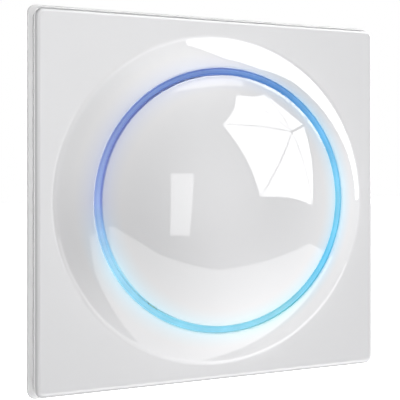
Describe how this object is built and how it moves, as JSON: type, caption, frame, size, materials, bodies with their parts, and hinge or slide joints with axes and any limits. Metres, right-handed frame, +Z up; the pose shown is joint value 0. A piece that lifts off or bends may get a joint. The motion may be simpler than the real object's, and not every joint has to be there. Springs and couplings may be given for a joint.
{
  "type": "smart home wall controller",
  "caption": "Flush wall controller for a smart home: glossy square cover swelling to a lit ring around a domed push button, steel bracket and a boxed electronics insert behind.",
  "frame": {"origin": "centre of the bracket's slot pattern, on the wall plane", "axes": "+X to the right and +Z up as seen from the front; the front faces -Y and the insert goes into the wall along +Y"},
  "size_m": [0.0814, 0.0428, 0.0814],
  "materials": {
    "steel": "galvanised, satin",
    "screw_steel": "bright zinc",
    "spring_steel": "drawn wire",
    "brass": "plain",
    "pin_gold": "plated",
    "housing_plastic": "fine spark texture",
    "terminal_plastic": "satin",
    "black_plastic": "satin",
    "chassis_plastic": "fine texture",
    "plunger_plastic": "satin",
    "reflector_plastic": "bright white satin",
    "base_plastic": "glossy moulded",
    "cover_gloss": "high gloss moulded",
    "board": "solder resist",
    "ferrite": "sintered",
    "winding_tape": "polyester tape",
    "capacitor_sleeve": "shrink sleeve",
    "capacitor_box": "moulded box",
    "resistor_coat": "lacquer",
    "varistor_coat": "epoxy dip",
    "led": "moulded body with clear lens",
    "light_guide": "translucent, lit from below"
  },
  "bodies": {
    "housing": {"support_bracket": "steel", "rear_housing": "housing_plastic", "housing_lid": "housing_plastic", "housing_screws": "screw_steel", "terminal_block": "terminal_plastic", "terminal_clamps": "brass", "terminal_screws": "screw_steel", "power_board": "board", "relay_left": "black_plastic", "relay_right": "black_plastic", "transformer_core": "ferrite", "transformer_winding": "winding_tape", "filter_capacitors": "capacitor_sleeve", "safety_capacitor": "capacitor_box", "fuse_resistor": "resistor_coat", "surge_varistor": "varistor_coat", "bridge_rectifier": "black_plastic", "header_base": "black_plastic", "header_pins": "pin_gold", "header_socket": "black_plastic", "radio_board": "board", "radio_shield": "screw_steel", "radio_antenna": "screw_steel", "controller_chip": "black_plastic", "base_frame": "base_plastic", "front_chassis": "chassis_plastic", "chassis_screws": "screw_steel", "front_board": "board", "board_screws": "screw_steel", "ring_leds": "led", "ring_reflector": "reflector_plastic", "light_ring": "light_guide", "switch_left": "black_plastic", "switch_right": "black_plastic", "return_springs": "spring_steel", "cover_frame": "cover_gloss"},
    "button": {"dome_button": "cover_gloss", "button_carrier": "chassis_plastic"},
    "left_plunger": {"plunger_left": "plunger_plastic"},
    "right_plunger": {"plunger_right": "plunger_plastic"}
  },
  "joints": [
    {"name": "button_press", "type": "slide", "parent": "housing", "child": "button", "axis": [0, 1, 0], "range_m": [0, 0.0008], "stiffness_N_per_m": 1500, "springref_m": -0.0005, "deforming": ["return_springs"]},
    {"name": "left_plunger_slide", "type": "slide", "parent": "housing", "child": "left_plunger", "axis": [0, 1, 0], "range_m": [0, 0.0008]},
    {"name": "right_plunger_slide", "type": "slide", "parent": "housing", "child": "right_plunger", "axis": [0, 1, 0], "range_m": [0, 0.0008]}
  ],
  "couplings": [
    {"joint": "left_plunger_slide", "follows": "button_press", "ratio": 1},
    {"joint": "right_plunger_slide", "follows": "button_press", "ratio": 1}
  ]
}
